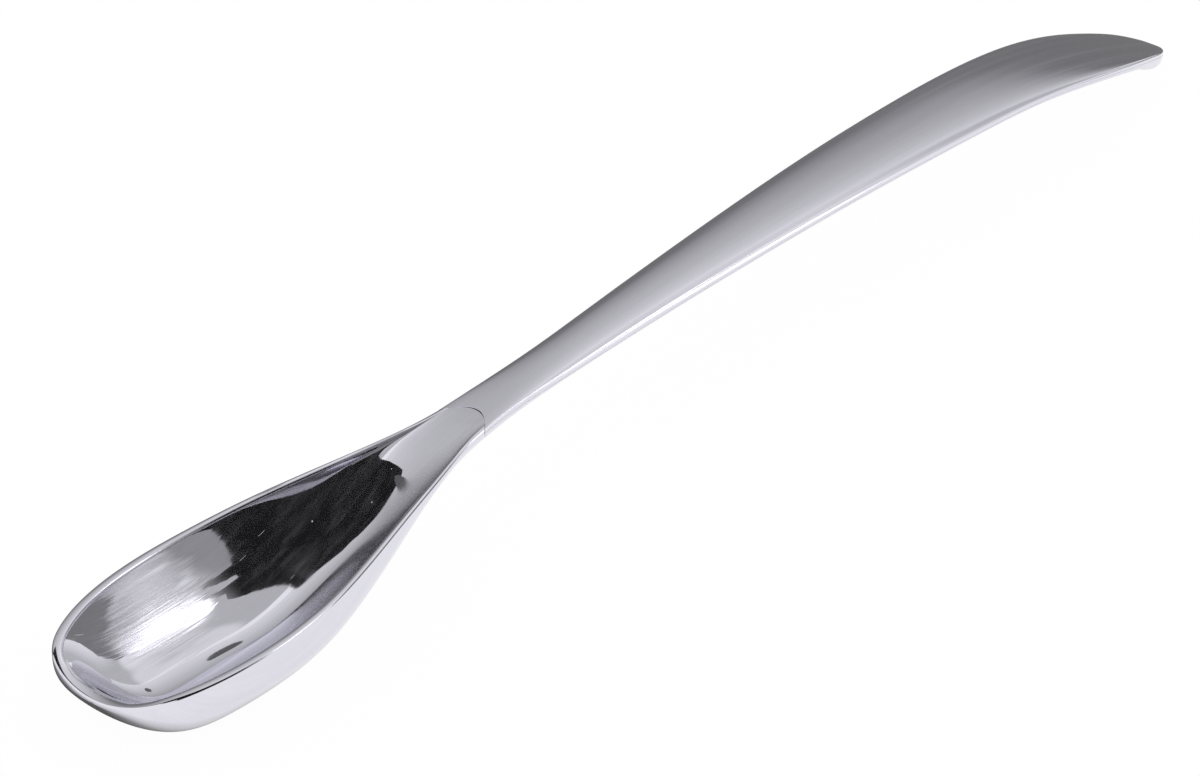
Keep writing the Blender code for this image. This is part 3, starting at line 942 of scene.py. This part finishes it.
# On the wall, a point's grade is its light itself
WALL_GREYS = [(0.0, 0.0), (1.0, 1.0)]
# Share of a patch's half sizes where it starts to fade, and the share over which it does
PATCH_FULL = 0.7
PATCH_FADE = 0.6

# Dark flag beside the bowl: where it is seen from, its distance from there, its foot's elevation,
# its top as azimuth and elevation, and its grey
FLAG_EYE = Vector((-84.0 * MM, 7.0 * MM, 5.0 * MM))
FLAG_DISTANCE = 60.0 * MM
FLAG_FOOT = 1.0
FLAG_TOP = [(42, 15), (47, 25), (51, 30), (55, 33.5), (60, 34), (64, 28.5), (68, 22), (69, 20.5)]
FLAG_STEPS_ALONG = 34
FLAG_STEPS_UP = 8
FLAG_GREY = 0.22

# Small dark card that shows as a sliver low on the near wall: where it is seen from, its run along the wall,
# its distance, its lower and upper edge as azimuth and elevation, how pointed its ends are, and its grey
SLIVER_EYE = Vector((-78.6 * MM, 0.4 * MM, 1.2 * MM))
SLIVER_RUN = Vector((4.0 * MM, -1.0 * MM, 0.2 * MM))
SLIVER_DISTANCE = 46.0 * MM
SLIVER_LOW = (125.0, 40.5)
SLIVER_HIGH = (116.0, 46.0)
SLIVER_POINTED = 0.98
SLIVER_STEPS_ALONG = 9
SLIVER_STEPS_UP = 4
SLIVER_GREY = 0.12

# Deep shade on the floor under the bowl's front: middle, half sizes, depth at shares of the half sizes,
# and the greys from no shade to full shade
SHADE_MIDDLE = (-85.0 * MM, 8.0 * MM)
SHADE_REACH = (26.0 * MM, 19.0 * MM)
SHADE_STEPS = [(0.02, 1.0), (0.55, 1.0), (0.7, 0.8), (0.85, 0.3), (1.0, 0.0)]
SHADE_STEPS_AROUND = 49
SHADE_GREYS = [(0.0, 0.92), (1.0, 0.10)]


def towards(azimuth, elevation):
    """Unit vector for a direction in degrees."""
    turn = math.radians(azimuth)
    rise = math.radians(elevation)
    return Vector((math.sin(turn) * math.cos(rise), -math.cos(turn) * math.cos(rise), math.sin(rise)))


def between(rows, place):
    """Value at a place, on straight lines through (place, value) rows."""
    places, values = zip(*rows)
    return float(np.interp(place, places, values))


def above_floor(place):
    """The place itself, or the one a little above the floor where it lies lower."""
    return Vector((place.x, place.y, max(place.z, CARD_LIFT)))


def make_camera():
    """Camera at the photo's viewing angle."""
    data = bpy.data.cameras.new("camera")
    data.lens = VIEW_LENS
    data.sensor_width = VIEW_SENSOR
    data.clip_start = VIEW_NEAREST
    data.clip_end = VIEW_FARTHEST
    camera = new_object("camera", data)
    back = towards(VIEW_AZIMUTH, VIEW_ELEVATION)
    camera.location = VIEW_TARGET + back * VIEW_DISTANCE
    camera.rotation_mode = "QUATERNION"
    camera.rotation_quaternion = (-back).to_track_quat("-Z", "Y")
    bpy.context.scene.camera = camera


def glow_material(name, ramp):
    """Even light whose strength follows the attribute "grade" through (place, strength) steps."""
    material, tree = new_material(name)
    tree.nodes.clear()
    steps = add_node(tree, "ShaderNodeValToRGB", {"Fac": mark_of(tree, "grade")})
    elements = steps.color_ramp.elements
    # A new ramp has a step at each end; further steps start in its middle, and then all take their places
    while len(elements) < len(ramp):
        elements.new(0.5)
    for element, (place, strength) in zip(elements, ramp):
        element.position = place
        element.color = (strength, strength, strength, 1.0)
    light = add_node(tree, "ShaderNodeEmission", {"Color": steps.outputs["Color"]})
    add_node(tree, "ShaderNodeOutputMaterial", {"Surface": light.outputs["Emission"]})
    return material


def even_glow(name, grey):
    """Even light of one grey."""
    return glow_material(name, [(0.0, grey), (1.0, grey)])


def stage_grid(name, rows, grades, material):
    """A sheet through rows of points, which shows only as a reflection in the metal."""
    sheet = bmesh.new()
    grade = sheet.verts.layers.float.new("grade")
    grid = []
    for row, row_grades in zip(rows, grades):
        line = []
        for place, value in zip(row, row_grades):
            vert = sheet.verts.new(place)
            vert[grade] = value
            line.append(vert)
        grid.append(line)
    for near, far in zip(grid[:-1], grid[1:]):
        for k in range(len(near) - 1):
            sheet.faces.new((near[k], near[k + 1], far[k + 1], far[k]))
    mesh = mesh_from(name, sheet)
    mesh.shade_smooth()
    mesh.materials.append(material)
    card = new_object(name, mesh)
    card.visible_camera = False
    card.visible_diffuse = False
    card.visible_shadow = False


def plain_grades(rows):
    """A grade of 0 for every point."""
    return [[0.0] * len(row) for row in rows]


def make_floor():
    """White floor that shows as white to the camera and the metal, and still takes a soft shadow."""
    material, tree = new_material("floor_white")
    tree.nodes.clear()
    path = add_node(tree, "ShaderNodeLightPath", {})
    to_camera = combine(tree, "MULTIPLY", path.outputs["Is Camera Ray"], FLOOR_TO_CAMERA)
    mirrored = combine(tree, "MAXIMUM", path.outputs["Is Glossy Ray"], path.outputs["Is Transmission Ray"])
    to_metal = combine(tree, "MULTIPLY", mirrored, FLOOR_TO_METAL)
    matte = add_node(tree, "ShaderNodeBsdfDiffuse", {"Color": FLOOR_COLOR})
    glow = add_node(tree, "ShaderNodeEmission", {"Strength": 1.0})
    shares = {
        "Fac": combine(tree, "MAXIMUM", to_camera, to_metal),
        1: matte.outputs["BSDF"],
        2: glow.outputs["Emission"],
    }
    mix = add_node(tree, "ShaderNodeMixShader", shares)
    add_node(tree, "ShaderNodeOutputMaterial", {"Surface": mix.outputs["Shader"]})
    sheet = bmesh.new()
    bmesh.ops.create_grid(sheet, x_segments=1, y_segments=1, size=FLOOR_SIZE / 2)
    mesh = mesh_from("floor", sheet)
    mesh.materials.append(material)
    floor = new_object("floor", mesh)
    floor.location.z = -FLOOR_DROP


def make_sweep():
    """Graded grey sweep that starts on the floor behind the spoon and curves up, and a card past the tip."""
    profile = [(SWEEP_START, 0.0, 0.0)]
    for turn in np.linspace(0.0, SWEEP_TOP, SWEEP_STEPS):
        height = SWEEP_RADIUS * math.sin(turn) + SWEEP_RISE
        profile.append((SWEEP_RADIUS * math.cos(turn), height, turn / SWEEP_TOP))
    shade = glow_material("sweep_grey", SWEEP_GREYS)
    rows = [[(x, y, z) for y, z, grade in profile] for x in SWEEP_ENDS]
    grades = [[grade for y, z, grade in profile] for x in SWEEP_ENDS]
    stage_grid("back_sweep", rows, grades, shade)
    rows = [[(x, y, CARD_LIFT) for y in TIP_CARD_SIDES] for x in TIP_CARD_ENDS]
    stage_grid("tip_card", rows, plain_grades(rows), shade)


def make_screen():
    """Dark card bent into an arch over the bowl, with two lighter fingers at its edge."""
    ahead = towards(SCREEN_AZIMUTH, SCREEN_ELEVATION)
    right = towards(SCREEN_AZIMUTH + 90.0, 0.0)
    up = right.cross(ahead)
    if up.z < 0.0:
        up = -up
    rows = []
    grades = []
    for roll in np.linspace(*SCREEN_ROLLS, SCREEN_STEPS_AROUND):
        turn = math.radians(roll)
        outwards = right * math.cos(turn) + up * math.sin(turn)
        in_finger = FINGER_ROLLS[0] < roll < FINGER_ROLLS[1]
        row = []
        row_grades = []
        inner = between(SCREEN_INNER, roll)
        outer = between(SCREEN_OUTER, roll)
        for angle in np.linspace(inner, outer, SCREEN_STEPS_OUT):
            lean = math.radians(angle)
            out = ahead * math.cos(lean) + outwards * math.sin(lean)
            row.append(above_floor(BOWL_MIDDLE + out * SCREEN_RADIUS))
            fade = float(ease((angle - FINGER_FADE_START) / FINGER_FADE_RUN))
            row_grades.append(fade if in_finger else 0.0)
        rows.append(row)
        grades.append(row_grades)
    stage_grid("dark_screen", rows, grades, glow_material("screen_black", SCREEN_GREYS))


def make_wall():
    """Grey wall on the right, part of a large dome, with a few soft lighter and darker patches."""
    rows = []
    grades = []
    for azimuth in np.linspace(*WALL_AZIMUTHS, WALL_STEPS_ALONG):
        row = []
        row_grades = []
        for elevation in np.linspace(*WALL_ELEVATIONS, WALL_STEPS_UP):
            light = WALL_GREY
            for middle, height, half_width, half_height, patch in WALL_PATCHES:
                away = math.hypot((azimuth - middle) / half_width, (elevation - height) / half_height)
                light += (patch - light) * float(1.0 - ease((away - PATCH_FULL) / PATCH_FADE))
            row.append(above_floor(BOWL_MIDDLE + towards(azimuth, elevation) * WALL_RADIUS))
            row_grades.append(light)
        rows.append(row)
        grades.append(row_grades)
    stage_grid("grey_wall", rows, grades, glow_material("wall_grey", WALL_GREYS))


def make_flag():
    """Dark grey flag that stands low beside the bowl."""
    rows = []
    for azimuth in np.linspace(FLAG_TOP[0][0], FLAG_TOP[-1][0], FLAG_STEPS_ALONG):
        heights = np.linspace(FLAG_FOOT, between(FLAG_TOP, azimuth), FLAG_STEPS_UP)
        rows.append([FLAG_EYE + towards(azimuth, height) * FLAG_DISTANCE for height in heights])
    stage_grid("low_flag", rows, plain_grades(rows), even_glow("flag_grey", FLAG_GREY))


def make_sliver():
    """Small dark card, pointed at both ends."""
    low = towards(*SLIVER_LOW)
    high = towards(*SLIVER_HIGH)
    rows = []
    for place in np.linspace(-0.5, 0.5, SLIVER_STEPS_ALONG):
        swell = math.sqrt(1.0 - SLIVER_POINTED * (2.0 * place) ** 2) / 2.0
        start = SLIVER_EYE + SLIVER_RUN * place
        shares = np.linspace(0.5 - swell, 0.5 + swell, SLIVER_STEPS_UP)
        rows.append([start + low.lerp(high, share) * SLIVER_DISTANCE for share in shares])
    stage_grid("sliver_card", rows, plain_grades(rows), even_glow("sliver_grey", SLIVER_GREY))


def make_floor_shade():
    """Deep shade on the floor under the bowl's front, as the metal mirrors it."""
    rows = []
    for turn in np.linspace(0.0, 2.0 * math.pi, SHADE_STEPS_AROUND):
        row = []
        for share, grade in SHADE_STEPS:
            x = SHADE_MIDDLE[0] + SHADE_REACH[0] * share * math.cos(turn)
            y = SHADE_MIDDLE[1] + SHADE_REACH[1] * share * math.sin(turn)
            row.append((x, y, -FLOOR_DROP / 2))
        rows.append(row)
    grades = [[grade for share, grade in SHADE_STEPS] for row in rows]
    stage_grid("floor_shade", rows, grades, glow_material("floor_shade", SHADE_GREYS))


def soft_lamp(name, target, azimuth, elevation, distance, width, height, radiance):
    """Soft box that faces a target on the spoon."""
    lamp = bpy.data.lights.new(name, "AREA")
    lamp.shape = "RECTANGLE"
    lamp.size = width
    lamp.size_y = height
    lamp.energy = radiance * math.pi * width * height
    holder = new_object(name, lamp)
    out = towards(azimuth, elevation)
    holder.location = target + out * distance
    holder.rotation_mode = "QUATERNION"
    holder.rotation_quaternion = out.to_track_quat("Z", "Y")
    holder.visible_camera = False


make_camera()
make_floor()
make_sweep()
make_screen()
make_wall()
make_flag()
make_sliver()
make_floor_shade()
soft_lamp(
    "strip_lamp", VIEW_TARGET, azimuth=44.0, elevation=12.0, distance=210.0 * MM,
    width=35.0 * MM, height=110.0 * MM, radiance=1.4,
)
soft_lamp(
    "main_lamp", BOWL_MIDDLE, azimuth=48.0, elevation=40.0, distance=650.0 * MM,
    width=160.0 * MM, height=110.0 * MM, radiance=2.4,
)

world = bpy.data.worlds.new("studio")
world.use_nodes = True
bpy.context.scene.world = world
world.node_tree.nodes["Background"].inputs["Color"].default_value = WORLD_WHITE
bpy.context.scene.view_settings.view_transform = "Standard"
